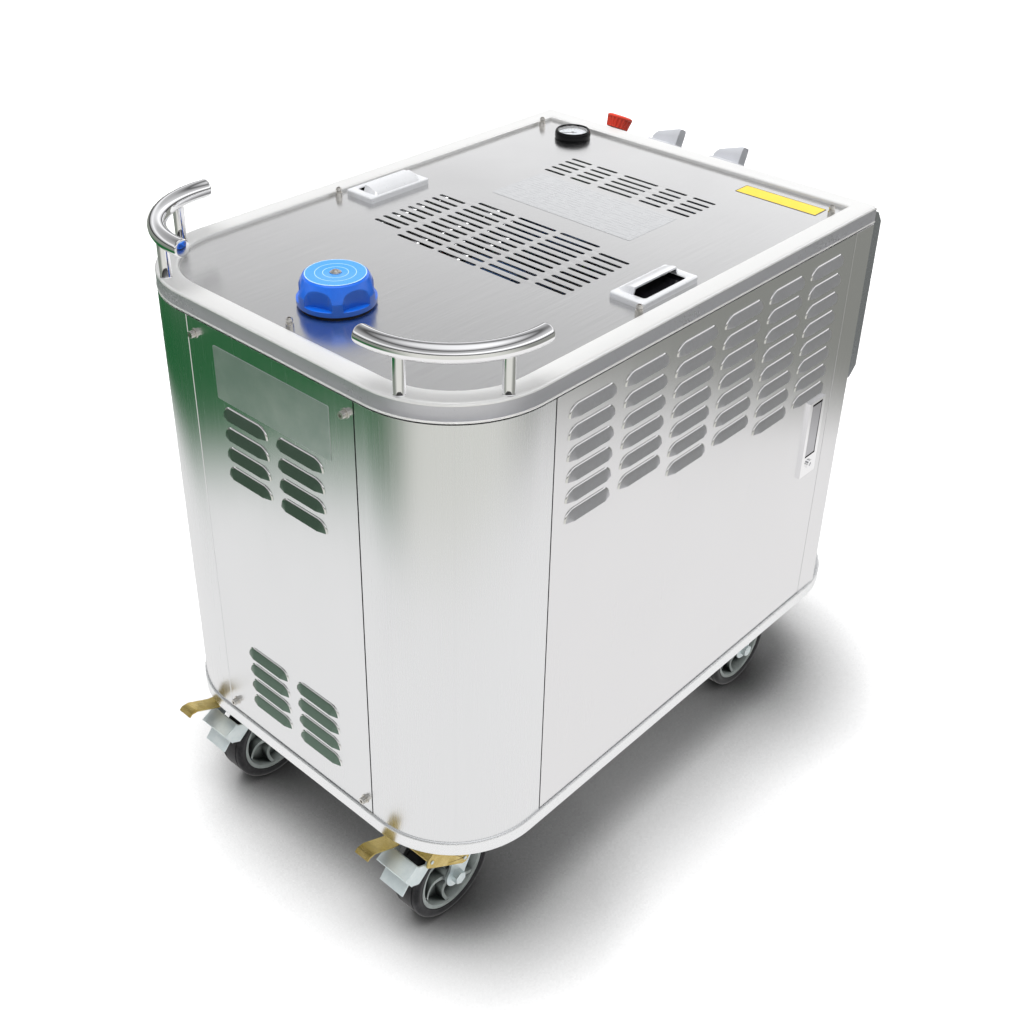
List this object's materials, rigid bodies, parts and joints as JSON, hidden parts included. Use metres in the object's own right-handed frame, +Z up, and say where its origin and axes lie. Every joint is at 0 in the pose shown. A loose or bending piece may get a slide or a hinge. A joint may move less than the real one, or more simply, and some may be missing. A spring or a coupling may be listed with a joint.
{
  "type": "commercial steam cleaner",
  "caption": "Wheeled stainless steel steam cleaner with louvred casing, hinged side door, control console, water filler cap, boiler and pump inside, on swivel and rigid casters.",
  "frame": {"origin": "on the floor, under the middle of the base tray", "axes": "+Z up, +Y from the rounded service end towards the control console, +X towards the side with the hinged door"},
  "size_m": [0.6862, 1.1116, 1.0267],
  "materials": {
    "steel_panel": "brushed stainless steel",
    "steel_trim": "fine brushed stainless steel, rounded edges",
    "frame_steel": "light grey primer",
    "chrome": "polished",
    "satin_metal": "satin",
    "blue_plastic": "semi-gloss blue",
    "light_blue": "light blue disc with a metal screw",
    "black_plastic": "gloss black",
    "grey_plastic": "light grey, fine texture",
    "red_plastic": "semi-gloss red",
    "teal_plastic": "matt",
    "dial_white": "matt white dial",
    "clear": "clear",
    "label": "plain film plates, no printing",
    "rubber_seal": "matt black",
    "tank_plastic": "natural polyethylene",
    "dark_tank": "black polyethylene",
    "brass": "plain",
    "boiler_steel": "silver heat paint",
    "motor_blue": "blue enamel",
    "box_grey": "grey powder coat",
    "zinc": "bright zinc plate",
    "yellow_zinc": "yellow passivated zinc",
    "tyre": "dark grey solid rubber",
    "hub": "grey moulded"
  },
  "bodies": {
    "casing": {"base_tray": "steel_trim", "frame_posts": "frame_steel", "corner_panels": "steel_panel", "front_panel": "steel_panel", "left_panel": "steel_panel", "rear_corners": "steel_panel", "rear_panel": "steel_panel", "hinge_pins": "satin_metal", "console_shell": "steel_panel", "top_rim": "steel_trim", "top_cover": "steel_panel", "cap_screws": "satin_metal", "cup_handles": "satin_metal", "corner_rails": "chrome", "label_plates": "label", "water_tank": "tank_plastic", "gauge_case": "black_plastic", "gauge_dial": "dial_white", "gauge_glass": "clear", "estop_collar": "teal_plastic", "outlet_fittings": "brass", "boiler_shell": "boiler_steel", "burner_housing": "motor_blue", "fuel_tank": "dark_tank", "pump_set": "motor_blue", "electrical_box": "box_grey", "caster_plates": "zinc", "rear_forks": "zinc"},
    "right_door": {"right_door": "steel_panel", "latch_case": "chrome"},
    "latch_lever": {"latch_lever": "chrome"},
    "latch_bolt": {"latch_bolt": "satin_metal"},
    "latch_button": {"latch_button": "chrome"},
    "cap_seal": {"cap_seal": "rubber_seal"},
    "water_cap": {"water_cap": "blue_plastic", "cap_disc": "light_blue"},
    "gauge_needle": {"gauge_needle": "black_plastic"},
    "estop_stem": {"estop_stem": "grey_plastic"},
    "estop_head": {"estop_head": "red_plastic"},
    "selector_knob_left": {"selector_knob_left": "grey_plastic"},
    "selector_knob_right": {"selector_knob_right": "grey_plastic"},
    "power_switch": {"power_switch": "black_plastic"},
    "burner_fan": {"burner_fan": "satin_metal"},
    "drive_coupling": {"drive_coupling": "brass"},
    "fuel_cap": {"fuel_cap": "red_plastic"},
    "front_fork_left": {"front_fork_left": "zinc"},
    "front_wheel_left": {"front_tyre_left": "tyre", "front_hub_left": "hub"},
    "rear_wheel_left": {"rear_tyre_left": "tyre", "rear_hub_left": "hub"},
    "lock_lever_left": {"lock_lever_left": "yellow_zinc"},
    "release_pedal_left": {"release_pedal_left": "zinc"},
    "front_fork_right": {"front_fork_right": "zinc"},
    "front_wheel_right": {"front_tyre_right": "tyre", "front_hub_right": "hub"},
    "rear_wheel_right": {"rear_tyre_right": "tyre", "rear_hub_right": "hub"},
    "lock_lever_right": {"lock_lever_right": "yellow_zinc"},
    "release_pedal_right": {"release_pedal_right": "zinc"}
  },
  "joints": [
    {"name": "right_door_swing", "type": "hinge", "parent": "casing", "child": "right_door", "pos_m": [0.326, -0.33925, 0.5775], "axis": [0, 0, -1], "range_deg": [0, 95]},
    {"name": "latch_lever_pull", "type": "hinge", "parent": "right_door", "child": "latch_lever", "pos_m": [0.334, 0.303, 0.6395], "axis": [0, -1, 0], "range_deg": [0, 55]},
    {"name": "latch_bolt_draw", "type": "slide", "parent": "right_door", "child": "latch_bolt", "axis": [0, -1, 0], "range_m": [0, 0.012]},
    {"name": "latch_button_press", "type": "slide", "parent": "right_door", "child": "latch_button", "axis": [-1, 0, 0], "range_m": [0, 0.004]},
    {"name": "cap_lift", "type": "slide", "parent": "casing", "child": "cap_seal", "axis": [0, 0, 1], "range_m": [0, 0.06]},
    {"name": "water_cap_turn", "type": "hinge", "parent": "cap_seal", "child": "water_cap", "pos_m": [-0.012, -0.397, 0.951], "axis": [0, 0, 1], "range_deg": [0, 120]},
    {"name": "gauge_needle_turn", "type": "hinge", "parent": "casing", "child": "gauge_needle", "pos_m": [-0.215, 0.326, 0.954], "axis": [0, 0, -1], "range_deg": [0, 270]},
    {"name": "estop_press", "type": "slide", "parent": "casing", "child": "estop_stem", "axis": [0, -0.4226, -0.9063], "range_m": [0, 0.0028]},
    {"name": "estop_twist", "type": "hinge", "parent": "estop_stem", "child": "estop_head", "pos_m": [-0.206, 0.43638, 0.93241], "axis": [0, -0.4226, -0.9063], "range_deg": [0, 45]},
    {"name": "selector_knob_left_turn", "type": "hinge", "parent": "casing", "child": "selector_knob_left", "pos_m": [-0.097, 0.43638, 0.93241], "axis": [0, -0.4226, -0.9063], "range_deg": [0, 270]},
    {"name": "selector_knob_right_turn", "type": "hinge", "parent": "casing", "child": "selector_knob_right", "pos_m": [0.033, 0.43638, 0.93241], "axis": [0, -0.4226, -0.9063], "range_deg": [0, 270]},
    {"name": "power_switch_rock", "type": "hinge", "parent": "casing", "child": "power_switch", "pos_m": [0.15, 0.487, 0.774], "axis": [-1, 0, 0], "range_deg": [0, 16]},
    {"name": "burner_fan_spin", "type": "hinge", "parent": "casing", "child": "burner_fan", "pos_m": [0, -0.098, 0.832], "axis": [1, 0, 0], "continuous": true},
    {"name": "pump_drive_spin", "type": "hinge", "parent": "casing", "child": "drive_coupling", "pos_m": [0, -0.39, 0.32], "axis": [1, 0, 0], "continuous": true},
    {"name": "fuel_cap_turn", "type": "hinge", "parent": "casing", "child": "fuel_cap", "pos_m": [0.25, 0.16, 0.498], "axis": [0, 0, 1], "range_deg": [0, 90]},
    {"name": "front_caster_swivel_left", "type": "hinge", "parent": "casing", "child": "front_fork_left", "pos_m": [-0.212, -0.396, 0.19], "axis": [0, 0, 1], "continuous": true},
    {"name": "front_wheel_roll_left", "type": "hinge", "parent": "front_fork_left", "child": "front_wheel_left", "pos_m": [-0.212, -0.436, 0.08], "axis": [1, 0, 0], "continuous": true},
    {"name": "rear_wheel_roll_left", "type": "hinge", "parent": "casing", "child": "rear_wheel_left", "pos_m": [-0.235, 0.31, 0.08], "axis": [1, 0, 0], "continuous": true},
    {"name": "lock_lever_press_left", "type": "hinge", "parent": "front_fork_left", "child": "lock_lever_left", "pos_m": [-0.212, -0.421, 0.108], "axis": [1, 0, 0], "range_deg": [0, 8]},
    {"name": "release_pedal_press_left", "type": "hinge", "parent": "lock_lever_left", "child": "release_pedal_left", "pos_m": [-0.212, -0.49, 0.155], "axis": [1, 0, 0], "range_deg": [-8, 12]},
    {"name": "front_caster_swivel_right", "type": "hinge", "parent": "casing", "child": "front_fork_right", "pos_m": [0.212, -0.396, 0.19], "axis": [0, 0, 1], "continuous": true},
    {"name": "front_wheel_roll_right", "type": "hinge", "parent": "front_fork_right", "child": "front_wheel_right", "pos_m": [0.212, -0.436, 0.08], "axis": [1, 0, 0], "continuous": true},
    {"name": "rear_wheel_roll_right", "type": "hinge", "parent": "casing", "child": "rear_wheel_right", "pos_m": [0.235, 0.31, 0.08], "axis": [1, 0, 0], "continuous": true},
    {"name": "lock_lever_press_right", "type": "hinge", "parent": "front_fork_right", "child": "lock_lever_right", "pos_m": [0.212, -0.421, 0.108], "axis": [1, 0, 0], "range_deg": [0, 8]},
    {"name": "release_pedal_press_right", "type": "hinge", "parent": "lock_lever_right", "child": "release_pedal_right", "pos_m": [0.212, -0.49, 0.155], "axis": [1, 0, 0], "range_deg": [-8, 12]}
  ],
  "couplings": [
    {"joint": "latch_bolt_draw", "follows": "latch_lever_pull", "m_per_rad": 0.0125},
    {"joint": "release_pedal_press_left", "follows": "lock_lever_press_left", "ratio": -1},
    {"joint": "release_pedal_press_right", "follows": "lock_lever_press_right", "ratio": -1}
  ]
}
